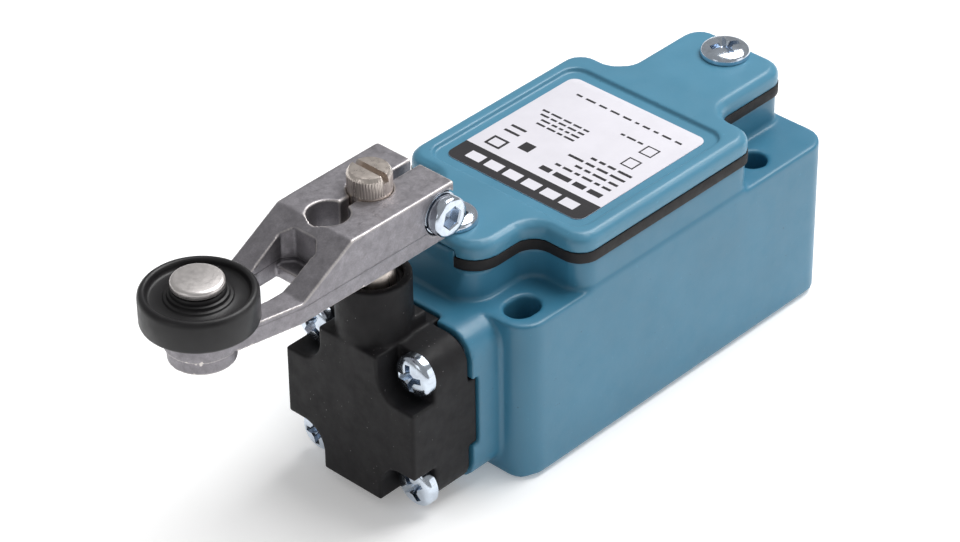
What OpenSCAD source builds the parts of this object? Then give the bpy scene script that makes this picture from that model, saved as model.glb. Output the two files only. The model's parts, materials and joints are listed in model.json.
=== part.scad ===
// Side-rotary limit switch with a roller lever: metal body of the 40 mm class, centre-neutral
// contact block inside, four-screw rotary head with a vertical shaft.
// Frame: +X towards the conduit entry, +Z away from the mounting face,
// origin in the middle of the 60 x 30 mm mounting holes, on the mounting face.

/* [Body] */
// Width of the body
body_w = 41.4; // [40:0.2:42.4]
// Conduit end of the body, from the origin
body_x1 = 44.8; // [43:0.2:46]
// Height of the mounting shelves
shelf_z = 31.9; // [31:0.1:33]
// Height of the raised block under the cover
riser_z = 37.7; // [37:0.1:39]
// Spacing of the mounting holes along the body
hole_dx = 60; // [59:0.5:61]
// Spacing of the mounting holes across the body
hole_dy = 30; // [29.5:0.5:30.5]
// Diameter of the mounting holes
hole_d = 5.3; // [5:0.1:5.5]
// Length of the slotted holes at the head end
slot_l = 6.9; // [6.5:0.1:7.5]
// Thread bore of the conduit entry
conduit_d = 18.5; // [17:0.5:19]

/* [Cover] */
// Wide part of the cover, from the origin towards the head
cov_x0 = 21.6; // [21:0.1:22]
// Wide part of the cover, from the origin towards the conduit end
cov_x = 24; // [23.5:0.1:24.4]
// Half width of the cover tab at the conduit end
tab_hw = 10.5; // [10:0.1:10.7]
// Half width of the cover tab at the head end
tab_hw0 = 9.6; // [9.2:0.1:9.8]
// Thickness of the cover plate
cov_t = 3.3; // [3.1:0.1:3.6]
// Thickness of the cover gasket
gasket_t = 2; // [1.6:0.1:2.2]

/* [Head] */
// Width and height of the square head
head_w = 29.6; // [29:0.2:30]
// Half width of the arms of the cross-shaped front
bar_hw = 6.7; // [6.4:0.1:6.9]
// Front face of the head
head_x0 = -56.4; // [-56.6:0.1:-56.1]
// Diameter of the shaft boss
boss_d = 13.1; // [12.7:0.1:13.1]
// Top of the shaft boss
boss_z = 42.3; // [41.5:0.1:43]

/* [Lever] */
// Distance from the shaft to the roller pin
lever_r = 38.1; // [37:0.1:39]
// Underside of the lever
lev_z0 = 48.6; // [48:0.1:49]
// Top of the lever at the clamp
lev_z1 = 58.7; // [58.4:0.1:59]
// Half width of the lever at the clamp
lev_hw = 8.7; // [8.5:0.1:8.8]
// Diameter of the roller
roller_d = 19.3; // [18.9:0.1:19.7]
// Diameter of the shaft
shaft_d = 7.6; // [7.4:0.1:7.7]
// Top of the shaft
shaft_z = 62.6; // [61:0.1:64]

/* [Mechanism] */
// Plunger travel each way at the end of the lever's swing
travel = 1.5; // [1.3:0.1:1.5]
// Lever swing each way, in degrees
swing = 75; // [70:1:80]
// Travel of the contact bridge each way, from the middle to the fixed contacts
bridge_gap = 1; // [0.9:0.1:1]

/* [Hidden] */
$fn = 64;

body_x0 = -36.4;          // foot of the raised block at the head end
tab_x0 = -35.3;           // head end of the cover
cscr = [-30.9, 40];       // cover screws
rec_x = -51.1;            // floor of the head screw recesses
clx = -42.1;              // clamp screw
clz = 53.8;
za = 16.6;                // height of the head and plunger axis
hw = head_w / 2;          // half size of the head
sx = head_x0 + boss_d / 2; // shaft axis
px = sx - lever_r;        // roller pin axis
neck_x = -42.4;           // front of the neck
head_x1 = -43;            // rear of the head
scr = 11.4;               // head screws from the head axis
cov_z0 = riser_z + gasket_t;
cov_z1 = cov_z0 + cov_t;
kr = travel / (swing * PI / 180); // plunger travel per radian
h0 = 3.4;                 // reach of the cam at rest
pin_r = 3.85;             // drive pin from the shaft axis
post_r = 4.72;            // fixed spring post from the shaft axis
bx = -3;                  // middle of the contact block
term_x = [-8, 8];         // terminals from the middle of the block

// ---------- 2D helpers ----------
module rrect(x0, y0, x1, y1, r) {
    translate([x0 + r, y0]) square([x1 - x0 - 2 * r, y1 - y0]);
    translate([x0, y0 + r]) square([x1 - x0, y1 - y0 - 2 * r]);
    for (x = [x0 + r, x1 - r], y = [y0 + r, y1 - r]) translate([x, y]) circle(r);
}
module inner_fillet(x, y, r, a) // square corner minus its circle
    translate([x, y]) rotate(a) difference() {
        square([r, r]);
        translate([r, r]) circle(r);
    }
// cover outline, shrunk by s
module outline(s = 0) {
    c1 = cov_x - s; c0 = cov_x0 - s; t1 = tab_hw - s; t0 = tab_hw0 - s; w = body_w / 2 - s;
    rrect(-c0, -w, c1, w, 4 - s * 0.8);
    rrect(0, -t1, body_x1 - s, t1, 4 - s * 0.8);
    rrect(tab_x0 + s, -t0, 10, t0, 5.4 - s * 0.8);
    inner_fillet(c1, t1, 4.6 + s, 0);
    inner_fillet(-c0, t0, 3.8 + s, 90);
    inner_fillet(-c0, -t0, 3.8 + s, 180);
    inner_fillet(c1, -t1, 4.6 + s, 270);
}
module along_x(x0, x1, y = 0, z = za) translate([x0, y, z]) rotate([0, 90, 0]) linear_extrude(x1 - x0) children();
module rod_x(x0, x1, r, y = 0, z = za) translate([x0, y, z]) rotate([0, 90, 0]) cylinder(h = x1 - x0, r = r);
module box(x0, x1, y0, y1, z0, z1) translate([x0, y0, z0]) cube([x1 - x0, y1 - y0, z1 - z0]);
module slot_hole(x, y, l, d, z0, z1) {
    e = (l - d) / 2;
    for (s = [-e, e]) translate([x + s, y, z0]) cylinder(h = z1 - z0, d = d);
    box(x - e, x + e, y - d / 2, y + d / 2, z0, z1);
}
// square of the head, seen along X (first axis is -Z after the turn)
module head_square(h, r) rrect(-h, -h, h, h, r);

// wire along a list of points, round section
function wire_ring(p, t, r, n) = let(
    u = t / norm(t),
    a = abs(u[2]) < 0.9 ? cross(u, [0, 0, 1]) : cross(u, [1, 0, 0]),
    e1 = a / norm(a), e2 = cross(u, e1))
    [for (i = [0 : n - 1]) p + r * (cos(360 * i / n) * e1 + sin(360 * i / n) * e2)];
module wire(pts, r, n = 8) {
    m = len(pts);
    tang = [for (i = [0 : m - 1]) pts[min(i + 1, m - 1)] - pts[max(i - 1, 0)]];
    v = [for (i = [0 : m - 1]) each wire_ring(pts[i], tang[i], r, n)];
    f = concat(
        [[for (i = [n - 1 : -1 : 0]) i]],
        [for (k = [0 : m - 2], i = [0 : n - 1]) [k * n + i, k * n + (i + 1) % n, (k + 1) * n + (i + 1) % n, (k + 1) * n + i]],
        [[for (i = [0 : n - 1]) (m - 1) * n + i]]);
    polyhedron(points = v, faces = f, convexity = 10);
}
// round head with a cross recess, axis +Z, seat at z = 0
module cross_head(d, h, slot = 1.1) {
    difference() {
        union() {
            cylinder(h = h * 0.45, d = d);
            translate([0, 0, h * 0.45]) cylinder(h = h * 0.3, d1 = d, d2 = d * 0.86);
            translate([0, 0, h * 0.75]) cylinder(h = h * 0.25, d1 = d * 0.86, d2 = d * 0.58);
        }
        for (a = [0, 90]) rotate(a) translate([-d * 0.3, -slot / 2, h * 0.42]) cube([d * 0.6, slot, h]);
    }
}

// lip at the head end of the raised block, grown by g
module lip(g) translate([tab_x0 - 0.1 - g, -4.4 - g, riser_z - 1]) cube([1.4 + 2 * g, 8.8 + 2 * g, 4.1 + g]);

// ---------- fixed outer pieces ----------
module housing() color([0.28, 0.52, 0.62]) difference() {
    union() {
        // main block with rounded upright corners
        translate([0, 0, 0.6]) linear_extrude(shelf_z - 0.6) rrect(body_x0 + 0.8, -body_w / 2, body_x1, body_w / 2, 4.8);
        // neck that carries the head
        along_x(neck_x, body_x0 + 6) head_square(15.3, 5.2);
        // raised block under the cover
        translate([0, 0, shelf_z - 1]) linear_extrude(riser_z - shelf_z + 1) outline(0.35);
        // its end towards the head leans back, with a lip in front of the gasket
        intersection() {
            translate([0, 0, shelf_z - 1]) linear_extrude(10) rrect(body_x0, -tab_hw0 + 0.35, -20, tab_hw0 - 0.35, 5.6);
            rotate([90, 0, 0]) translate([0, 0, -20]) linear_extrude(40)
                polygon([[-15, shelf_z - 1], [body_x0, shelf_z - 1], [body_x0, shelf_z + 0.2], [tab_x0 - 0.1, riser_z], [-15, riser_z]]);
        }
        lip(0);
        // mounting pads on the back, joined by a flat rib
        linear_extrude(1) {
            rrect(-35, -19.3, -23.4, 19.3, 2.5);
            rrect(26.3, -19.3, 35.5, 19.3, 2.5);
            translate([-30, -9]) square([60, 18]);
        }
    }
    // contact chamber
    translate([0, 0, 3]) linear_extrude(riser_z) rrect(-20, -17.6, 20, 17.6, 3);
    // wiring space over the conduit entry
    translate([0, 0, 27.5]) linear_extrude(riser_z) rrect(15, -6.6, 33.5, 6.6, 2.5);
    // mounting holes
    for (s = [-1, 1]) {
        slot_hole(-hole_dx / 2, s * hole_dy / 2, slot_l, hole_d, -1, shelf_z + 10);
        translate([hole_dx / 2, s * hole_dy / 2, -1]) cylinder(h = shelf_z + 10, d = hole_d);
    }
    // conduit entry
    rod_x(19, body_x1 + 1, conduit_d / 2);
    // plunger passage
    rod_x(neck_x - 1, -38.7, 5.65);
    rod_x(-40, -19, 4.2);
    // head screw holes
    for (y = [-scr, scr], z = [-scr, scr]) rod_x(neck_x - 1, -34.4, 1.8, y, za + z);
    // seats of the four index lugs
    for (a = [0 : 90 : 270]) translate([neck_x - 1, 0, za]) rotate([a, 0, 0]) box(0, 2.5, -bar_hw - 0.25, bar_hw + 0.25, 12.9, 16);
    // cover screw holes
    for (x = cscr) translate([x, 0, riser_z - 9]) cylinder(h = 10, r = 1.8);
    // contact block and earth screw holes
    translate([bx - 13.75, -9.5, 1.2]) cylinder(h = 5, r = 1.55);
    translate([bx + 13.75, 9.5, 1.2]) cylinder(h = 5, r = 1.55);
    translate([16.4, -13.6, 1.2]) cylinder(h = 5, r = 1.8);
}
module cover() color([0.32, 0.57, 0.68]) difference() {
    union() {
        translate([0, 0, cov_z0]) linear_extrude(cov_t - 1.5) outline(0);
        translate([0, 0, cov_z1 - 1.55]) linear_extrude(0.5) outline(0.12);
        translate([0, 0, cov_z1 - 1.1]) linear_extrude(0.4) outline(0.35);
        translate([0, 0, cov_z1 - 0.75]) linear_extrude(0.4) outline(0.65);
        translate([0, 0, cov_z1 - 0.4]) linear_extrude(0.4) outline(1.15);
    }
    // panel for the label
    translate([0, 0, cov_z1 - 0.75]) linear_extrude(2) rrect(-19, -17.6, 19.4, 17.6, 3.2);
    // hollow underside
    translate([0, 0, cov_z0 - 1]) linear_extrude(2) rrect(-18, -16.4, 19, 16.4, 3);
    // room for the lip of the housing
    lip(0.12);
    for (x = cscr) translate([x, 0, cov_z0 - 1]) cylinder(h = 8, r = 2.1);
}
module cover_gasket() color([0.06, 0.06, 0.065]) translate([0, 0, riser_z]) linear_extrude(gasket_t) difference() {
    outline(-0.1);
    rrect(-18.6, -17, 19.4, 17, 3);
    rrect(15, -6.2, 33, 6.2, 2);
    translate([tab_x0 - 3, -4.5]) square([4.4, 9]);
    for (x = cscr) translate([x, 0]) circle(2.1);
}
module cover_screws() color([0.8, 0.82, 0.86]) for (x = cscr) {
    translate([x, 0, cov_z1]) cross_head(8.9, 2, 1.2);
    translate([x, 0, riser_z - 8]) cylinder(h = cov_z1 - riser_z + 8.1, r = 1.75);
}
module label() color([0.85, 0.84, 0.87]) translate([0, 0, cov_z1 - 0.75]) linear_extrude(0.15)
    rrect(-16.5, -15.5, 16.9, 15.5, 1.8);

// ---------- rotary head ----------
module head_housing() color([0.09, 0.09, 0.095]) difference() {
    union() {
        along_x(head_x0, head_x1) head_square(hw, 4.6);
        // index lugs, one on each side
        for (a = [0 : 90 : 270]) translate([head_x1 - 1, 0, za]) rotate([a, 0, 0]) box(0, 2.8, -bar_hw, bar_hw, 13.1, hw);
        // shaft boss
        translate([sx, 0, za]) cylinder(h = boss_z - za, d = boss_d);
        // rear flank of the boss
        box(sx, sx + 6.2, -bar_hw + 0.6, bar_hw - 0.6, za, za + hw + 2.6);
    }
    // corner recesses for the screws
    for (y = [-1, 1], z = [-1, 1]) {
        rod_x(head_x0 - 1, rec_x, 4.7, y * scr, za + z * scr);
        translate([head_x0 - 1, y * (scr + 10), za + z * (scr + 10)]) cube([2 * (rec_x - head_x0 + 1), 2 * 10, 2 * (10 + 4.7)], center = true);
        translate([head_x0 - 1, y * (scr + 10), za + z * (scr + 10)]) cube([2 * (rec_x - head_x0 + 1), 2 * (10 + 4.7), 2 * 10], center = true);
        rod_x(rec_x - 1, head_x1 + 1, 1.9, y * scr, za + z * scr);
    }
    // chamber for the shaft and its cam
    translate([sx, 0, 4.1]) cylinder(h = 17.9, r = 5.4);
    rod_x(sx, head_x1 + 3, 5.65);
    // seat of the spring post
    translate([sx - post_r, 0, 3]) cylinder(h = 3, r = 0.41);
    // bottom bearing and bushing bore
    translate([sx, 0, 2.7]) cylinder(h = 5, r = 2.25);
    translate([sx, 0, za]) cylinder(h = 40, r = 5.1);
}
module head_gasket() color([0.1, 0.1, 0.1]) along_x(head_x1, neck_x) difference() {
    head_square(12.8, 4);
    circle(6.2);
    for (y = [-scr, scr], z = [-scr, scr]) translate([z, y]) circle(2.6);
}
module head_screws() color([0.78, 0.82, 0.88]) for (y = [-scr, scr], z = [-scr, scr]) {
    rod_x(rec_x - 0.3, -34.6, 1.72, y, za + z);
    translate([rec_x, y, za + z]) rotate([0, -90, 0]) cross_head(7.8, 2.6);
}
module shaft_bushing() color([0.62, 0.5, 0.3]) translate([sx, 0, 22]) difference() {
    cylinder(h = 15.8, r = 5.1);
    translate([0, 0, -1]) cylinder(h = 20, r = 3.87);
}
module shaft_seal() color([0.05, 0.05, 0.05]) translate([sx, 0, 37.8]) difference() {
    cylinder(h = 3.4, r = 5.1);
    translate([0, 0, -1]) cylinder(h = 20, r = 3.87);
    translate([0, 0, 2.6]) cylinder(h = 2, r1 = 4.2, r2 = 4.8);
}
module plunger_guide() color([0.6, 0.52, 0.32]) difference() {
    rod_x(-40.7, -38.8, 5.6);
    rod_x(-42, -37, 2.26);
}

// ---------- shaft and lever ----------
// cam: its reach towards +X changes evenly as the shaft turns either way
function cam_pt(f) = let(h = h0 - kr * f * PI / 180) [h * cos(f) + kr * sin(f), h * sin(f) - kr * cos(f)];
module cam() {
    h_small = h0 - travel;
    polygon(concat(
        [for (f = [-swing : 5 : swing]) cam_pt(f)],
        [for (a = [swing : 9 : 120]) h_small * [cos(a), sin(a)]],
        [for (a = [135 : 9 : 171]) (2.6 + (a - 135) / 18) * [cos(a), sin(a)]],
        [for (a = [180 : 10 : 260]) (4.65 + (a - 180) / 240) * [cos(a), sin(a)]]));
}
module shaft() color([0.55, 0.5, 0.46]) difference() {
    translate([sx, 0, 0]) {
        translate([0, 0, 2.9]) cylinder(h = 10.6, r = 2.2);
        translate([0, 0, 13.4]) linear_extrude(6.4) cam();
        translate([0, 0, 19.7]) cylinder(h = 1.1, r = 3);
        translate([0, 0, 20.7]) cylinder(h = 1.1, r = 4.7);
        translate([0, 0, 21]) cylinder(h = shaft_z - 21.6, d = shaft_d);
        translate([0, 0, shaft_z - 0.6]) cylinder(h = 0.6, d1 = shaft_d, d2 = shaft_d - 1.1);
    }
    // drive pin hole in the cam
    translate([sx - pin_r, 0, 12]) cylinder(h = 4, r = 0.41);
    // slot in the end of the shaft
    translate([sx - 0.6, -6, shaft_z - 1.3]) cube([1.2, 12, 3]);
}
module drive_pin() color([0.7, 0.7, 0.72]) translate([sx - pin_r, 0, 5.9]) cylinder(h = 10, r = 0.4);
module spring_post() color([0.7, 0.7, 0.72]) translate([sx - post_r, 0, 3.05]) cylinder(h = 9.6, r = 0.4);
module lever_plan() {
    difference() {
        union() {
            polygon([[-39.2, -lev_hw + 0.3], [-39.5, -lev_hw], [-74, -lev_hw + 0.2], [px + 2, -6.1], [px + 2, 6.1], [-74, lev_hw - 0.2], [-39.5, lev_hw], [-39.2, lev_hw - 0.3]]);
            translate([px, 0]) circle(6.1);
        }
        // bore for the shaft, relief hole and clamp slit
        translate([sx, 0]) circle(d = shaft_d + 0.06);
        translate([-59.4, 0]) circle(3.6);
        translate([-59, -0.9]) square([8, 1.8]);
        translate([sx, -1]) square([20, 2]);
        // window
        polygon([[-64.6, -2.4], [-66.4, -4], [-80.2, -3.4], [-81.3, -2.2], [-81.3, 2.2], [-80.2, 3.4], [-66.4, 4], [-64.6, 2.4]]);
    }
}
module lever() color([0.6, 0.585, 0.59]) difference() {
    union() {
        intersection() {
            translate([0, 0, 40]) linear_extrude(30) lever_plan();
            rotate([90, 0, 0]) translate([0, 0, -20]) linear_extrude(40)
                polygon([[-38, lev_z0], [-110, lev_z0], [-110, 52.4], [-73.6, 52.4], [-62.4, lev_z1], [-38, lev_z1]]);
        }
        translate([px, 0, 46.1]) cylinder(h = 6.3, r = 5.6);
        // rough web left in the window
        translate([-67.6, -4.2, lev_z0]) cube([3.2, 8.4, 2.2]);
    }
    // roller pin hole
    translate([px, 0, 40]) cylinder(h = 20, r = 2.5);
    // clamp screw hole and its spot face
    translate([clx, 12, clz]) rotate([90, 0, 0]) cylinder(h = 24, r = 2.05);
    translate([clx, -7.6, clz]) rotate([90, 0, 0]) cylinder(h = 6, r = 4);
}
module clamp_screw() color([0.75, 0.79, 0.85]) translate([clx, 0, clz]) rotate([90, 0, 0]) difference() {
    union() {
        translate([0, 0, -8.2]) cylinder(h = 17, r = 2);
        translate([0, 0, 8.4]) cylinder(h = 2, r = 3.55);
        translate([0, 0, 10.4]) cylinder(h = 0.5, r1 = 3.55, r2 = 3.1);
    }
    translate([0, 0, 8.6]) cylinder(h = 3, r = 1.75, $fn = 6);
}
module clamp_washer() color([0.7, 0.74, 0.8]) translate([clx, 0, clz]) rotate([90, 0, 0]) translate([0, 0, 7.6]) difference() {
    cylinder(h = 0.8, r = 3.7);
    translate([0, 0, -1]) cylinder(h = 3, r = 2.1);
    rotate(200) translate([2, -0.25, -1]) cube([3, 0.5, 3]);
}
module roller_pin() color([0.66, 0.64, 0.63]) translate([px, 0, 0]) {
    translate([0, 0, 45.6]) cylinder(h = 0.5, r1 = 2.7, r2 = 3.3);
    translate([0, 0, 46]) cylinder(h = 14, r = 2.45);
    translate([0, 0, 59.5]) cylinder(h = 0.9, r = 4.4);
    translate([0, 0, 60.4]) cylinder(h = 0.5, r1 = 4.4, r2 = 3.9);
}
module roller_washer() color([0.6, 0.6, 0.6]) translate([px, 0, 52.4]) difference() {
    cylinder(h = 0.5, r = 4.4);
    translate([0, 0, -1]) cylinder(h = 3, r = 2.55);
}
module roller() color([0.07, 0.07, 0.075]) translate([px, 0, 0]) rotate_extrude($fn = 96) polygon([
    [2.52, 53], [8.9, 53], [roller_d / 2 - 0.25, 53.2], [roller_d / 2, 53.7], [roller_d / 2, 57.8], [roller_d / 2 - 0.35, 58.5], [8.8, 58.8],
    [8.2, 58.6], [7.8, 57.7], [5.4, 57.4], [5.2, 58], [4.7, 58.2], [4.6, 58.5], [4.6, 59.3], [2.52, 59.3]]);

// ---------- centring spring and plunger ----------
// coil round the shaft; its two legs straddle the fixed post and the drive pin
leg_y = 0.75;
coil_r = 2.85;
leg_a = asin(leg_y / coil_r);
module centring_spring() color([0.7, 0.7, 0.72]) translate([sx, 0, 0])
    wire(concat(
        [[-5.1, leg_y, 6.4], [-4, leg_y, 6.4], [-3.1, leg_y, 6.4]],
        [for (i = [0 : 72]) let(a = 180 - leg_a - i * (1080 - 2 * leg_a) / 72) [coil_r * cos(a), coil_r * sin(a), 6.4 + i * 4 / 72]],
        [[-3.1, -leg_y, 10.4], [-4, -leg_y, 10.4], [-5.1, -leg_y, 10.4]]), 0.28, 8);
module plunger() color([0.7, 0.7, 0.72]) {
    rod_x(sx + h0 + 0.03, sx + h0 + 1.15, 3);
    rod_x(sx + h0 + 0.03, -21.1, 2.2);
}
module return_spring() color([0.7, 0.7, 0.72])
    wire([for (i = [0 : 75]) let(a = i * 24) [-45 + i * (4 / 75), 2.77 * cos(a), za + 2.77 * sin(a)]], 0.27, 8);

// ---------- contact block ----------
module switch_base() color([0.16, 0.16, 0.17]) difference() {
    box(bx - 16, bx + 16, -14, 14, 3, 27);
    difference() {
        box(bx - 11.5, bx + 11.5, -12.2, 12.2, 5, 30);
        for (x = term_x, y = [-9, 9]) translate([bx + x, y, 0]) cylinder(h = 40, r = 2.9);
    }
    for (x = term_x, y = [-9, 9]) translate([bx + x, y, 20]) cylinder(h = 10, r = 1.6);
    rod_x(bx - 20, bx - 10, 2.46);
    rod_x(bx + 10, bx + 20, 1.56);
    translate([bx - 13.75, -9.5, 0]) cylinder(h = 30, r = 1.7);
    translate([bx + 13.75, 9.5, 0]) cylinder(h = 30, r = 1.7);
}
module switch_cover() color([0.22, 0.22, 0.23]) difference() {
    box(bx - 16, bx + 16, -14, 14, 27, 28.6);
    for (x = term_x, y = [-9, 9]) translate([bx + x, y, 20]) cylinder(h = 10, r = 1.6);
    for (s = [-1, 1]) {
        box(bx - 3.65, bx - 2.5, s * 7 - 2.2, s * 7 + 2.2, 20, 30);
        box(bx + 2.5, bx + 3.65, s * 7 - 2.2, s * 7 + 2.2, 20, 30);
    }
    translate([bx - 13.75, -9.5, 0]) cylinder(h = 30, r = 1.7);
    translate([bx + 13.75, 9.5, 0]) cylinder(h = 30, r = 1.7);
}
module block_screws() color([0.75, 0.77, 0.8]) for (s = [-1, 1]) translate([bx + s * 13.75, s * 9.5, 0]) {
    translate([0, 0, 1.6]) cylinder(h = 27.2, r = 1.5);
    translate([0, 0, 28.6]) cross_head(5.2, 1.8, 0.8);
}
module contact_carrier() color([0.55, 0.2, 0.15]) {
    rod_x(-21, bx - 6.3, 2.4);
    difference() {
        box(bx - 6.4, bx + 6.4, -3, 3, za - 3.5, za + 3.5);
        box(bx - 4.9, bx + 4.9, -5, 5, za - 2.3, za + 2.3);
    }
    rod_x(bx + 6.3, bx + 14, 1.5);
}
module contact_bridge() color([0.75, 0.55, 0.3]) {
    box(bx - 0.4, bx + 0.4, -8.6, 8.6, za - 1.9, za + 1.9);
    for (y = [-7, 7]) rod_x(bx - 1, bx + 1, 1.4, y);
}
// one spring on each side of the bridge holds it in the middle of the carrier
module bridge_springs() color([0.7, 0.7, 0.72]) for (s = [-1, 1])
    wire([for (i = [0 : 54]) let(a = i * 24) [bx + s * (0.65 + i * (4 / 54)), 1.4 * cos(a), za + s * 1.4 * sin(a)]], 0.2, 8);
module fixed_contacts(s) {
    x0 = bx + s * (1.06 + bridge_gap);
    for (y = [-7, 7]) {
        // button, upright strip and terminal pad
        rod_x(min(x0, x0 + s * 0.7), max(x0, x0 + s * 0.7), 1.4, y);
        box(min(x0 + s * 0.6, x0 + s * 1.4), max(x0 + s * 0.6, x0 + s * 1.4), y - 1.9, y + 1.9, za - 1.9, 29.4);
        difference() {
            box(min(x0 + s * 0.6, bx + s * 10.9), max(x0 + s * 0.6, bx + s * 10.9), y > 0 ? y - 1.9 : y - 4.9, y > 0 ? y + 4.9 : y + 1.9, 28.6, 29.4);
            translate([bx + s * 8, y > 0 ? 9 : -9, 20]) cylinder(h = 20, r = 1.7);
        }
    }
}
module cw_contacts() color([0.8, 0.65, 0.35]) fixed_contacts(-1);
module ccw_contacts() color([0.8, 0.65, 0.35]) fixed_contacts(1);
module terminal_clamps() color([0.75, 0.75, 0.78]) for (x = term_x, y = [-9, 9]) translate([bx + x, y, 29.4]) difference() {
    translate([-2.9, -2.9, 0]) cube([5.8, 5.8, 1]);
    translate([0, 0, -1]) cylinder(h = 4, r = 1.65);
}
module terminal_screws() color([0.8, 0.8, 0.83]) for (x = term_x, y = [-9, 9]) translate([bx + x, y, 0]) {
    translate([0, 0, 20.5]) cylinder(h = 10, r = 1.5);
    translate([0, 0, 30.4]) cross_head(5.4, 1.9, 0.9);
}
module earth_screw() color([0.8, 0.8, 0.83]) translate([16.4, -13.6, 0]) {
    translate([0, 0, 1.6]) cylinder(h = 2, r = 1.7);
    translate([0, 0, 3]) cross_head(5.6, 2, 0.9);
}

housing();
cover();
cover_gasket();
cover_screws();
label();
head_housing();
head_gasket();
head_screws();
shaft_bushing();
shaft_seal();
shaft();
lever();
clamp_screw();
clamp_washer();
roller_pin();
roller();
roller_washer();
drive_pin();
spring_post();
centring_spring();
plunger();
plunger_guide();
return_spring();
switch_base();
switch_cover();
block_screws();
contact_carrier();
contact_bridge();
bridge_springs();
cw_contacts();
ccw_contacts();
terminal_clamps();
terminal_screws();
earth_screw();
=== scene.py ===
import bpy, bmesh, json, math, random
import numpy as np
from mathutils import Vector, Matrix


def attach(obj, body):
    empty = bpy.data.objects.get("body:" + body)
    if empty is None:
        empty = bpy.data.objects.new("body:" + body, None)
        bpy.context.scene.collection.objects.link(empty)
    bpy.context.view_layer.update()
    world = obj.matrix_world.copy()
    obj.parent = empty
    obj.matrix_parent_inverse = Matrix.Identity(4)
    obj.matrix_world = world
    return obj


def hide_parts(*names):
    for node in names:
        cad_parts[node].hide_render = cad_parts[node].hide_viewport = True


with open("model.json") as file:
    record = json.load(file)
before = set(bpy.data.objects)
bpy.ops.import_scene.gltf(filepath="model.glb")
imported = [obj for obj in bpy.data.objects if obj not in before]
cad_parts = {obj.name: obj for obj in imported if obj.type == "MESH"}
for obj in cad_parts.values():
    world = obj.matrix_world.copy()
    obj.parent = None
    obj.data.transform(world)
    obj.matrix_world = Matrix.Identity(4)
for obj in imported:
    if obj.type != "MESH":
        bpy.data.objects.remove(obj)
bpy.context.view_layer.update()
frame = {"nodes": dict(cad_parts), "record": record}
nodes = frame["nodes"]
MM = 0.001
SX, ZA, PX = -49.85, 16.6, -87.95      # shaft axis, head axis height, roller pin axis (mm)
scene = bpy.context.scene

# ---------------------------------------------------------------- camera
cd = bpy.data.cameras.new("camera")
cd.lens, cd.sensor_width, cd.sensor_fit = 136.7025, 36.0, "HORIZONTAL"
cd.clip_start, cd.clip_end = 0.01, 20
cam = bpy.data.objects.new("camera", cd)
scene.collection.objects.link(cam)
cam.matrix_world = Matrix(((0.682546, 0.425926, -0.593901, -0.392848),
                           (-0.730756, 0.385243, -0.563545, -0.349701),
                           (-0.011232, 0.818642, 0.574194, 0.385345),
                           (0, 0, 0, 1)))
scene.camera = cam

# ---------------------------------------------------------------- materials
def srgb(r, g, b):
    def f(c):
        c /= 255.0
        return c / 12.92 if c <= 0.04045 else ((c + 0.055) / 1.055) ** 2.4
    return (f(r), f(g), f(b), 1.0)


def lerp(c, k):
    return tuple(min(1.0, max(0.0, v * k)) for v in c[:3]) + (1.0,)


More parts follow.
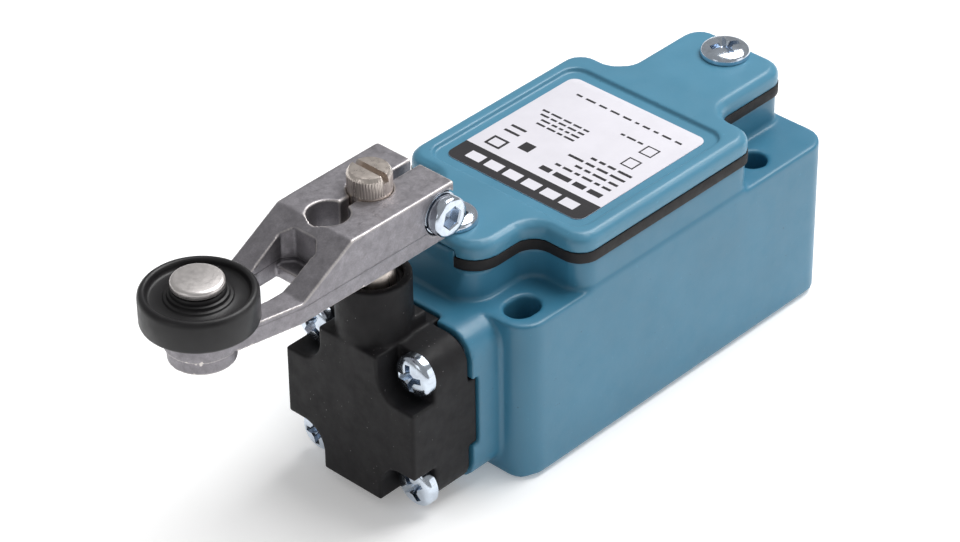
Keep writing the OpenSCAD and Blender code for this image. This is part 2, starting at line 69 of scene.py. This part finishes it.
class Mat:
    """One Principled shader with helpers for the noise that drives it."""
    def __init__(self, name, rough=0.5, metal=0.0, coat=0.0, coat_rough=0.1, spec=0.5, sheen=0.0):
        self.m = bpy.data.materials.new(name)
        self.m.use_nodes = True
        self.t = self.m.node_tree
        self.p = self.t.nodes["Principled BSDF"]
        self.p.inputs["Roughness"].default_value = rough
        self.p.inputs["Metallic"].default_value = metal
        self.p.inputs["Coat Weight"].default_value = coat
        self.p.inputs["Coat Roughness"].default_value = coat_rough
        self.p.inputs["Specular IOR Level"].default_value = spec
        self.p.inputs["Sheen Weight"].default_value = sheen
        self.tc = self.t.nodes.new("ShaderNodeTexCoord")
        self.normal = None

    def node(self, kind, **kw):
        n = self.t.nodes.new(kind)
        for k, v in kw.items():
            setattr(n, k, v)
        return n

    def link(self, a, b):
        self.t.links.new(a, b)

    def noise(self, size_mm, detail=3.0, rough=0.55, stretch=None, seed=0.0):
        n = self.node("ShaderNodeTexNoise")
        n.inputs["Scale"].default_value = 1.0
        n.inputs["Detail"].default_value = detail
        n.inputs["Roughness"].default_value = rough
        m = self.node("ShaderNodeMapping")
        s = 1000.0 / size_mm
        sx, sy, sz = stretch or (1, 1, 1)
        m.inputs["Scale"].default_value = (s / sx, s / sy, s / sz)
        m.inputs["Location"].default_value = (seed, seed * 0.7, seed * 1.3)
        self.link(self.tc.outputs["Object"], m.inputs["Vector"])
        self.link(m.outputs["Vector"], n.inputs["Vector"])
        return n.outputs["Fac"]

    def ramp(self, fac, stops):
        r = self.node("ShaderNodeValToRGB")
        els = r.color_ramp.elements
        while len(els) < len(stops):
            els.new(0.5)
        for e, (pos, col) in zip(els, stops):
            e.position = pos
            e.color = col if len(col) == 4 else tuple(col) + (1.0,)
        self.link(fac, r.inputs["Fac"])
        return r.outputs["Color"]

    def mapr(self, fac, a, b, c, d):
        r = self.node("ShaderNodeMapRange")
        for i, v in zip((1, 2, 3, 4), (a, b, c, d)):
            r.inputs[i].default_value = v
        self.link(fac, r.inputs[0])
        return r.outputs[0]

    def mix(self, fac, a, b, mode="MIX"):
        m = self.node("ShaderNodeMix", data_type="RGBA", blend_type=mode)
        for sock, v in ((m.inputs[0], fac), (m.inputs[6], a), (m.inputs[7], b)):
            if isinstance(v, (int, float, tuple)):
                sock.default_value = v
            else:
                self.link(v, sock)
        return m.outputs[2]

    def math(self, op, a, b=0.0):
        m = self.node("ShaderNodeMath", operation=op)
        for sock, v in zip(m.inputs, (a, b)):
            if isinstance(v, (int, float)):
                sock.default_value = v
            else:
                self.link(v, sock)
        return m.outputs[0]

    def axis(self, i):
        s = self.node("ShaderNodeSeparateXYZ")
        self.link(self.tc.outputs["Object"], s.inputs[0])
        return s.outputs[i]

    def bump(self, height, depth_mm, strength=1.0):
        b = self.node("ShaderNodeBump")
        b.inputs["Strength"].default_value = strength
        b.inputs["Distance"].default_value = depth_mm * MM
        self.link(height, b.inputs["Height"])
        if self.normal is not None:
            self.link(self.normal, b.inputs["Normal"])
        self.normal = b.outputs["Normal"]
        self.link(self.normal, self.p.inputs["Normal"])
        return self

    def color(self, sock):
        self.link(sock, self.p.inputs["Base Color"])
        return self

    def rough(self, sock):
        self.link(sock, self.p.inputs["Roughness"])
        return self


def paint(name, col, rough=0.36):
    """Satin enamel on a die casting: a little mottled, with a fine orange peel and a few specks."""
    m = Mat(name, rough=rough, spec=0.5, coat=0.12, coat_rough=0.25)
    big = m.noise(14, 2, 0.5)
    c = m.ramp(big, [(0.3, lerp(col, 0.94)), (0.7, lerp(col, 1.05))])
    speck = m.noise(0.55, 1, 0.4, seed=3.0)
    c = m.mix(m.mapr(speck, 0.74, 0.80, 0.0, 0.35), c, lerp(col, 1.5))
    dark = m.noise(0.8, 1, 0.4, seed=8.0)
    c = m.mix(m.mapr(dark, 0.77, 0.82, 0.0, 0.5), c, lerp(col, 0.5))
    m.color(c)
    m.rough(m.mapr(m.noise(3.5, 3, 0.6, seed=5), 0.3, 0.7, rough - 0.05, rough + 0.08))
    m.bump(m.noise(1.1, 2, 0.5, seed=1), 0.022, 0.55)
    m.bump(m.noise(9, 2, 0.5, seed=2), 0.09, 0.25)
    return m.m


def metal(name, col, rough, size=0.6, var=0.12, stretch=None, depth=0.01, metallic=1.0, dark=0.8):
    m = Mat(name, rough=rough, metal=metallic)
    n = m.noise(size, 4, 0.6, stretch)
    m.color(m.ramp(n, [(0.3, lerp(col, dark)), (0.7, lerp(col, 1.0))]))
    m.rough(m.mapr(m.noise(size * 2.3, 3, 0.6, stretch, seed=4), 0.3, 0.7, max(0.04, rough - var), min(1, rough + var)))
    m.bump(m.noise(size * 0.6, 3, 0.6, stretch, seed=2), depth, 0.6)
    return m.m


def plastic(name, col, rough, grain=0.35, depth=0.012, spec=0.5, mottle=1.0):
    m = Mat(name, rough=rough, spec=spec)
    m.color(m.ramp(m.noise(5, 3, 0.6), [(0.3, lerp(col, 1 - 0.15 * mottle)), (0.7, lerp(col, 1 + 0.12 * mottle))]))
    m.rough(m.mapr(m.noise(2.0, 3, 0.6, seed=4), 0.3, 0.7, rough - 0.06, rough + 0.08))
    m.bump(m.noise(grain, 3, 0.6, seed=2), depth, 0.6)
    return m.m


TEAL = srgb(55, 117, 145)
TEAL2 = srgb(72, 131, 158)
M = {}
M["body_paint"] = paint("body_paint_look", TEAL, 0.38)
M["cover_paint"] = paint("cover_paint_look", TEAL2, 0.36)

# black coated head casting with dust specks
m = Mat("black_metal_look", rough=0.55, spec=0.22)
blk = srgb(25, 24, 26)
c = m.ramp(m.noise(8, 3, 0.6), [(0.3, lerp(blk, 0.85)), (0.7, lerp(blk, 1.15))])
c = m.mix(m.mapr(m.noise(0.42, 0, 0.3, seed=6), 0.83, 0.88, 0.0, 0.35), c, srgb(150, 145, 148))
m.color(c)
m.rough(m.mapr(m.noise(2.5, 3, 0.6, seed=4), 0.3, 0.7, 0.48, 0.64))
m.bump(m.noise(0.45, 3, 0.6, seed=2), 0.02, 0.6)
M["black_metal"] = m.m

# tumbled die-cast lever: mottled grey, painted highlight on the edges, parting line round the sides
m = Mat("cast_lever_look", rough=0.46, metal=0.85)
g = srgb(152, 149, 154)
c = m.ramp(m.noise(2.2, 4, 0.65), [(0.28, lerp(g, 0.72)), (0.5, lerp(g, 0.92)), (0.72, lerp(g, 1.1))])
c = m.mix(m.mapr(m.noise(0.3, 2, 0.6, seed=3), 0.35, 0.7, 0.0, 0.45), c, lerp(g, 0.62))
geo = m.node("ShaderNodeNewGeometry")
# painted highlight: convex edges (found by pointiness) are lightened towards near white in the base colour
painted_edge_highlight = m.mapr(geo.outputs["Pointiness"], 0.515, 0.56, 0.0, 0.85)
c = m.mix(painted_edge_highlight, c, srgb(232, 226, 222))
z = m.axis(2)
line = m.math("ABSOLUTE", m.math("SUBTRACT", z, 0.0516))
band = m.mapr(line, 0.00004, 0.00016, 1.0, 0.0)
c = m.mix(m.math("MULTIPLY", band, 0.5), c, lerp(g, 0.55))
m.color(c)
m.rough(m.mapr(m.noise(1.2, 3, 0.6, seed=4), 0.3, 0.7, 0.36, 0.58))
m.bump(m.noise(0.35, 3, 0.65, seed=2), 0.03, 0.7)
m.bump(m.noise(2.6, 3, 0.6, seed=7), 0.10, 0.5)
m.bump(band, 0.06, 0.9)
M["cast_lever"] = m.m

M["shaft_steel"] = metal("shaft_steel_look", srgb(218, 208, 200), 0.32, 0.5, 0.08, (1, 1, 8), 0.006, dark=0.85)
M["pin_steel"] = metal("pin_steel_look", srgb(226, 221, 219), 0.36, 0.4, 0.06, (1, 1, 1), 0.005, dark=0.95)
M["zinc"] = metal("zinc_look", srgb(214, 224, 236), 0.16, 1.2, 0.06, None, 0.012, dark=0.8)
M["spring_steel"] = metal("spring_steel_look", srgb(170, 170, 176), 0.28, 0.5, 0.08, None, 0.006)
M["bronze"] = metal("bronze_look", srgb(176, 140, 88), 0.42, 0.5, 0.08, None, 0.012)
M["brass"] = metal("brass_look", srgb(205, 172, 98), 0.28, 0.6, 0.08, None, 0.006)
M["silver"] = metal("silver_look", srgb(205, 198, 186), 0.26, 0.6, 0.08, None, 0.006)
M["black_rubber"] = plastic("black_rubber_look", srgb(32, 30, 31), 0.62, 0.3, 0.03, 0.3)
M["black_nylon"] = plastic("black_nylon_look", srgb(24, 23, 25), 0.40, 0.3, 0.010, 0.4)
M["block_black"] = plastic("block_black_look", srgb(42, 42, 45), 0.45, 0.4, 0.012)
M["carrier_red"] = plastic("carrier_red_look", srgb(150, 48, 36), 0.4, 0.4, 0.01)
M["label_white"] = plastic("label_white_look", srgb(218, 216, 223), 0.60, 0.5, 0.003, 0.1, 0.2)
INK = plastic("ink_look", srgb(34, 32, 36), 0.56, 0.5, 0.003, 0.4)

# ---------------------------------------------------------------- mesh helpers
def link(o):
    scene.collection.objects.link(o)
    return o


def new_obj(name, me):
    return link(bpy.data.objects.new(name, me))


def bm_to_obj(bm, name):
    me = bpy.data.meshes.new(name)
    bm.to_mesh(me)
    bm.free()
    return new_obj(name, me)


def apply_all(o):
    """Replaces the object's mesh with its evaluated one."""
    dg = bpy.context.evaluated_depsgraph_get()
    me = bpy.data.meshes.new_from_object(o.evaluated_get(dg), preserve_all_data_layers=False, depsgraph=dg)
    o.modifiers.clear()
    old = o.data
    o.data = me
    bpy.data.meshes.remove(old)
    return o


def set_mat(o, mat):
    o.data.materials.clear()
    o.data.materials.append(mat)
    return o


def smooth(o, deg=32):
    o.data.shade_smooth()
    o.data.set_sharp_from_angle(angle=math.radians(deg))
    return o


def cad_copy(names, name):
    """A welded copy of CAD nodes' meshes in one object."""
    bm = bmesh.new()
    for n in names:
        bm.from_mesh(nodes[n].data)
    bmesh.ops.remove_doubles(bm, verts=bm.verts, dist=2e-6)
    o = bm_to_obj(bm, name)
    return o


def remeshed(names, name, voxel, rounds, mat, factor=0.5):
    """Cast or moulded form: the CAD shape with every edge and inner corner rounded."""
    o = cad_copy(names, name)
    r = o.modifiers.new("remesh", "REMESH")
    r.mode, r.voxel_size, r.adaptivity = "VOXEL", voxel * MM, 0.0
    s = o.modifiers.new("smooth", "SMOOTH")
    s.factor, s.iterations = factor, rounds
    apply_all(o)
    o.data.shade_smooth()
    set_mat(o, mat)
    return o


def lathe(profile, name, seg=96, axis="Z"):
    """Closed solid of revolution about Z from (radius, z) in mm; radius 0 closes it."""
    bm = bmesh.new()
    rings = []
    for r, zz in profile:
        if r < 1e-6:
            rings.append([bm.verts.new((0, 0, zz * MM))])
        else:
            rings.append([bm.verts.new((r * MM * math.cos(2 * math.pi * i / seg), r * MM * math.sin(2 * math.pi * i / seg), zz * MM)) for i in range(seg)])
    n = len(rings)
    closed = len(rings[0]) > 1 and len(rings[-1]) > 1
    for k in range(n if closed else n - 1):
        a, b = rings[k], rings[(k + 1) % n]
        for i in range(seg):
            j = (i + 1) % seg
            if len(a) == 1:
                bm.faces.new((a[0], b[j], b[i]))
            elif len(b) == 1:
                bm.faces.new((a[i], a[j], b[0]))
            else:
                bm.faces.new((a[i], a[j], b[j], b[i]))
    bmesh.ops.recalc_face_normals(bm, faces=bm.faces)
    return bm_to_obj(bm, name)


def boolean(o, cutter, op="DIFFERENCE"):
    b = o.modifiers.new("bool", "BOOLEAN")
    b.operation, b.solver, b.object = op, "EXACT", cutter
    apply_all(o)
    me = cutter.data
    bpy.data.objects.remove(cutter)
    bpy.data.meshes.remove(me)
    return o


def bevel(o, width_mm, seg=2, deg=30):
    b = o.modifiers.new("bevel", "BEVEL")
    b.width, b.segments, b.limit_method, b.angle_limit = width_mm * MM, seg, "ANGLE", math.radians(deg)
    b.harden_normals = False
    return o


def join(objs, name):
    bm = bmesh.new()
    for o in objs:
        me = o.data.copy()
        me.transform(o.matrix_world)
        bm.from_mesh(me)
        bpy.data.meshes.remove(me)
    mats = [m for m in objs[0].data.materials]
    for o in objs:
        me = o.data
        bpy.data.objects.remove(o)
        bpy.data.meshes.remove(me)
    out = bm_to_obj(bm, name)
    for m_ in mats:
        out.data.materials.append(m_)
    return out


# ---------------------------------------------------------------- cast and moulded shells
housing = remeshed(["housing"], "housing_shell", 0.4, 3, M["body_paint"])
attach(housing, "body"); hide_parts("housing")

cover = remeshed(["cover"], "cover_plate", 0.28, 5, M["cover_paint"])
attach(cover, "body"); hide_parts("cover")

head = remeshed(["head_housing"], "head_casting", 0.27, 3, M["black_metal"])
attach(head, "body"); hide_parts("head_housing")

lever = remeshed(["lever"], "lever_arm", 0.22, 4, M["cast_lever"])
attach(lever, "lever"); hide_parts("lever")

# ---------------------------------------------------------------- screws
def wing(length, width, depth, top, taper=0.75):
    """A tapered blade, wide at the mouth: half a cross recess."""
    bm = bmesh.new()
    pts = []
    for zz, k in ((top + 0.4, 1.0 + 0.12), (top - depth, taper)):
        for sx_, sy_ in ((-1, -1), (1, -1), (1, 1), (-1, 1)):
            pts.append(bm.verts.new((sx_ * length * (k if zz < top else 1.06) * MM, sy_ * width * (0.8 if zz < top else 1.0) * MM, zz * MM)))
    for f in ((3, 2, 1, 0), (4, 5, 6, 7), (0, 1, 5, 4), (1, 2, 6, 5), (2, 3, 7, 6), (3, 0, 4, 7)):
        bm.faces.new([pts[i] for i in f])
    bmesh.ops.recalc_face_normals(bm, faces=bm.faces)
    return bm_to_obj(bm, "wing")


def phillips(name, d, h, shank_r, shank_l, seg=64, dome=0.62, turn=0.0):
    """Pan head screw with a cross recess, seat at z = 0, head towards +Z."""
    R = d / 2
    rim = h * (1 - dome)
    prof = [(0, -shank_l), (shank_r - 0.35, -shank_l), (shank_r, -shank_l + 0.4), (shank_r, 0), (R - 0.12, 0), (R, 0.14), (R, rim - 0.1)]
    for i in range(9):
        a = math.radians(6 + 84 * i / 8)
        rr = (R - 0.02) * math.cos(a) ** 0.72
        prof.append((rr if i < 8 else 0, rim + (h - rim) * math.sin(a)))
    o = lathe(prof, name, seg)
    w1 = wing(R * 0.70, R * 0.15, h * 0.74, h, 0.55)
    boolean(o, w1)
    w2 = wing(R * 0.70, R * 0.15, h * 0.74, h, 0.55)
    w2.data.transform(Matrix.Rotation(math.pi / 2, 4, "Z"))
    boolean(o, w2)
    core = lathe([(0, h * 0.2), (R * 0.12, h * 0.26), (R * 0.36, h + 0.3), (0, h + 0.3)], "core", 16)
    boolean(o, core)
    o.data.transform(Matrix.Rotation(math.radians(turn), 4, "Z"))
    set_mat(o, M["zinc"])
    smooth(o, 34)
    return o


cs = []
for i, (x, turn) in enumerate(((-30.9, 20), (40.0, 62))):
    s = phillips(f"cover_screw_{i}", 8.9, 2.0, 1.75, 13.3, turn=turn)
    s.data.transform(Matrix.Translation((x * MM, 0, 43.0 * MM)))
    cs.append(s)
s = join(cs, "cover_screw_pair"); smooth(s, 34)
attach(s, "body"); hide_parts("cover_screws")

hs = []
for i, (y, zz, turn) in enumerate(((-11.4, 11.4, 10), (-11.4, -11.4, 35), (11.4, 11.4, 60), (11.4, -11.4, 5))):
    s = phillips(f"head_screw_{i}", 7.8, 2.6, 1.72, 16.4, dome=0.5, turn=turn)
    s.data.transform(Matrix.Translation((-51.1 * MM, y * MM, (ZA + zz) * MM)) @ Matrix.Rotation(-math.pi / 2, 4, "Y"))
    hs.append(s)
s = join(hs, "head_screw_set"); smooth(s, 34)
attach(s, "body"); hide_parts("head_screws")

# ---------------------------------------------------------------- shaft with a straight knurl above the lever
bm = bmesh.new()
bm.from_mesh(nodes["shaft"].data)
bmesh.ops.remove_doubles(bm, verts=bm.verts, dist=2e-6)
cut = 50.0 * MM
res = bmesh.ops.bisect_plane(bm, geom=bm.verts[:] + bm.edges[:] + bm.faces[:], plane_co=(0, 0, cut), plane_no=(0, 0, 1), clear_outer=True)
bmesh.ops.holes_fill(bm, edges=[e for e in bm.edges if e.is_boundary])
lower = bm_to_obj(bm, "shaft_lower")
SEG = 288
bm = bmesh.new()
def shaft_ring(zz, r, amp):
    ring = []
    for i in range(SEG):
        a = 2 * math.pi * i / SEG
        k = (i % 6) / 6.0
        rib = abs(k - 0.5) * 2
        ring.append(bm.verts.new(((SX + (r - amp * (1 - rib)) * math.cos(a)) * MM, (r - amp * (1 - rib)) * math.sin(a) * MM, zz * MM)))
    return ring
rings = [shaft_ring(49.9, 3.78, 0), shaft_ring(59.0, 3.78, 0), shaft_ring(59.1, 3.80, 0.10), shaft_ring(61.75, 3.80, 0.10), shaft_ring(61.9, 3.74, 0.03), shaft_ring(62.45, 3.42, 0), shaft_ring(62.58, 3.3, 0), shaft_ring(62.6, 3.15, 0)]
for a, b in zip(rings, rings[1:]):
    for i in range(SEG):
        j = (i + 1) % SEG
        bm.faces.new((a[i], a[j], b[j], b[i]))
bm.faces.new(rings[0][::-1]); bm.faces.new(rings[-1])
bmesh.ops.recalc_face_normals(bm, faces=bm.faces)
top = bm_to_obj(bm, "shaft_top")
bm = bmesh.new()
bmesh.ops.create_cube(bm, size=1.0, matrix=Matrix.Translation((SX * MM, 0, 62.8 * MM)) @ Matrix.Diagonal((1.2 * MM, 12 * MM, 3.0 * MM, 1)))
boolean(top, bm_to_obj(bm, "slot_cut"))
set_mat(top, M["shaft_steel"])
shaft = join([top, lower], "shaft_knurled")
set_mat(shaft, M["shaft_steel"])
smooth(shaft, 24)
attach(shaft, "lever"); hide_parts("shaft")

# ---------------------------------------------------------------- roller and its pin
prof = [(2.52, 53.0), (5.6, 53.0), (5.8, 53.3), (8.4, 53.3), (8.6, 53.0), (9.25, 53.05), (9.53, 53.25), (9.65, 53.6), (9.65, 57.7), (9.57, 58.15), (9.37, 58.5), (9.1, 58.73), (8.8, 58.8), (8.5, 58.72), (8.32, 58.5), (8.22, 58.0), (8.08, 57.62), (7.85, 57.45), (7.6, 57.4), (5.75, 57.4), (5.6, 57.5), (5.5, 57.75), (5.3, 57.85), (5.05, 57.9), (4.95, 58.1), (4.9, 58.4), (4.75, 58.5), (4.55, 58.55), (4.5, 58.8), (4.45, 59.15), (4.3, 59.3), (2.52, 59.3)]
roller = lathe(prof, "roller_wheel", 160)
roller.data.transform(Matrix.Translation((PX * MM, 0, 0)))
set_mat(roller, M["black_nylon"]); smooth(roller, 38)
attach(roller, "roller"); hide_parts("roller")

prof = [(0, 45.6), (2.3, 45.6), (2.7, 45.75), (3.2, 46.04), (3.2, 46.1), (2.45, 46.12), (2.45, 59.5), (4.25, 59.5), (4.38, 59.62), (4.4, 60.3), (4.34, 60.52), (4.2, 60.7), (3.98, 60.83), (3.7, 60.9), (0, 60.9)]
pin = lathe(prof, "roller_rivet", 128)
pin.data.transform(Matrix.Translation((PX * MM, 0, 0)))
set_mat(pin, M["pin_steel"]); smooth(pin, 38)
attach(pin, "lever"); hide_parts("roller_pin")

# ---------------------------------------------------------------- hex socket clamp screw
prof = [(0, -8.2), (1.7, -8.2), (2.0, -7.9), (2.0, 8.4), (3.4, 8.4), (3.55, 8.55), (3.55, 10.3), (3.48, 10.55), (3.3, 10.78), (3.05, 10.9), (2.2, 10.9), (0, 10.9)]
clamp = lathe(prof, "clamp_bolt", 96)
hexa = lathe([(0, 8.6), (1.95, 8.9), (1.95, 10.65), (2.3, 11.0), (0, 11.0)], "hex", 6)
hexa.data.transform(Matrix.Rotation(math.radians(12), 4, "Z"))
boolean(clamp, hexa)
clamp.data.transform(Matrix.Translation((-42.1 * MM, 0, 53.8 * MM)) @ Matrix.Rotation(math.pi / 2, 4, "X"))
set_mat(clamp, M["zinc"]); smooth(clamp, 30)
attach(clamp, "lever"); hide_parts("clamp_screw")

# ---------------------------------------------------------------- plain print on the label: bars and marks only
Z_INK = 42.405
bm = bmesh.new()
def slab(x0, x1, y0, y1, z0=Z_INK, t=0.01):
    vs = [bm.verts.new((x * MM, y * MM, zz * MM)) for zz in (z0, z0 + t) for x, y in ((x0, y0), (x1, y0), (x1, y1), (x0, y1))]
    for f in ((3, 2, 1, 0), (4, 5, 6, 7), (0, 1, 5, 4), (1, 2, 6, 5), (2, 3, 7, 6), (3, 0, 4, 7)):
        bm.faces.new([vs[i] for i in f])
def poly(pts, z0=Z_INK, t=0.01):
    a = [bm.verts.new((x * MM, y * MM, z0 * MM)) for x, y in pts]
    b = [bm.verts.new((x * MM, y * MM, (z0 + t) * MM)) for x, y in pts]
    n = len(pts)
    bm.faces.new(a[::-1]); bm.faces.new(b)
    for i in range(n):
        j = (i + 1) % n
        bm.faces.new((a[i], a[j], b[j], b[i]))
def square(x0, x1, y0, y1, w):
    slab(x0, x1, y0, y0 + w); slab(x0, x1, y1 - w, y1)
    slab(x0, x0 + w, y0 + w, y1 - w); slab(x1 - w, x1, y0 + w, y1 - w)
# dark band across the head-side end, with rounded outer corners
R = 1.8
pts = []
for cx, cy, a0 in ((-16.5 + R, 15.5 - R, 90), (-16.5 + R, -15.5 + R, 180)):
    for k in range(7):
        a = math.radians(a0 + 15 * k)
        pts.append((cx + R * math.cos(a), cy + R * math.sin(a)))
pts += [(-10.9, -15.5), (-10.9, 15.5)]
poly(pts[::1])
# rows of short bars along Y, as on a rating plate
rng = random.Random(7)
def row(x, h, y0, y1, lo, hi, gap):
    y = y0
    while y < y1 - lo:
        w = min(rng.uniform(lo, hi), y1 - y)
        slab(x, x + h, y, y + w)
        y += w + gap
row(-9.1, 1.25, -13.4, 2.6, 2.2, 4.4, 0.8)
for x in (-6.4, -4.6, -2.8, -1.0):
    row(x, 0.62, -13.4, rng.uniform(-3.0, 1.0), 1.0, 3.4, 0.6)
for x in (1.0, 2.3, 3.6, 4.9):
    row(x, 0.5, 1.5, rng.uniform(10.5, 13.0), 0.8, 2.6, 0.5)
row(8.2, 0.5, -8.0, -3.0, 0.8, 2.0, 0.5)
row(12.6, 0.5, -13.0, 12.4, 0.8, 2.4, 0.9)
# plain squares stand where the marks would be
slab(-6.8, -4.4, 5.0, 7.4)
for cx in (2.6, 7.4):
    square(cx - 1.4, cx + 1.4, -11.8, -9.0, 0.3)
square(-9.4, -6.4, 9.4, 12.9, 0.5)
for y0 in (9.6,):
    slab(-4.2, -3.6, y0, y0 + 3.4); slab(-2.4, -1.8, y0, y0 + 3.4)
bmesh.ops.recalc_face_normals(bm, faces=bm.faces)
ink = bm_to_obj(bm, "label_print")
set_mat(ink, INK)
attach(ink, "body")

# pale bars standing in the dark band
bm = bmesh.new()
for k in range(6):
    slab(-14.7, -12.5, -12.4 + 4.3 * k, -9.1 + 4.3 * k, Z_INK + 0.011, 0.008)
bmesh.ops.recalc_face_normals(bm, faces=bm.faces)
bars = bm_to_obj(bm, "label_band_bars")
set_mat(bars, M["label_white"])
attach(bars, "body")

# ---------------------------------------------------------------- CAD nodes that stay, with their finish and small edge rounding
SLOT = {s["node"]: s["material_slot"] for s in frame["record"]["subparts"]}
ROUND = {"cover_gasket": 0.12, "label": 0.04, "head_gasket": 0.05, "shaft_seal": 0.1, "clamp_washer": 0.08, "roller_washer": 0.06}
for n, o in nodes.items():
    if o.hide_render:
        continue
    set_mat(o, M[SLOT[n]])
    o.data.shade_smooth()
    o.data.set_sharp_from_angle(angle=math.radians(30))
    if n in ROUND:
        w = o.modifiers.new("weld", "WELD"); w.merge_threshold = 2e-6
        bevel(o, ROUND[n], 2, 35)

# ---------------------------------------------------------------- floor, light
bm = bmesh.new()
bmesh.ops.create_grid(bm, x_segments=1, y_segments=1, size=6)
floor = bm_to_obj(bm, "floor")
floor.location = (0, 0, -0.0002)
fm = bpy.data.materials.new("floor_white")
fm.use_nodes = True
fp = fm.node_tree.nodes["Principled BSDF"]
fp.inputs["Base Color"].default_value = (0.97, 0.97, 0.97, 1)
fp.inputs["Roughness"].default_value = 0.9
fp.inputs["Emission Color"].default_value = (1, 1, 1, 1)
fp.inputs["Emission Strength"].default_value = 0.22
fp.inputs["Specular IOR Level"].default_value = 0.1
set_mat(floor, fm)

world = bpy.data.worlds.new("studio")
world.use_nodes = True
world.node_tree.nodes["Background"].inputs["Color"].default_value = (1, 1, 1, 1)
world.node_tree.nodes["Background"].inputs["Strength"].default_value = 0.36
scene.world = world


def area(name, loc, target, size, power, size_y=None, col=(1, 1, 1)):
    d = bpy.data.lights.new(name, "AREA")
    d.energy, d.size, d.color = power, size, col
    if size_y:
        d.shape, d.size_y = "RECTANGLE", size_y
    o = bpy.data.objects.new(name, d)
    o.location = loc
    o.rotation_euler = (Vector(target) - Vector(loc)).to_track_quat("-Z", "Y").to_euler()
    link(o)
    return o


area("top", (0.34, -0.06, 0.66), (0, 0, 0.02), 0.55, 5.9)
area("right", (0.34, -0.80, 0.26), (0, 0, 0.02), 0.5, 0.8)
area("left", (-0.80, 0.05, 0.30), (0, 0, 0.02), 0.25, 0.25)

scene.view_settings.view_transform = "Standard"
scene.view_settings.look = "None"
scene.view_settings.exposure = 0.0
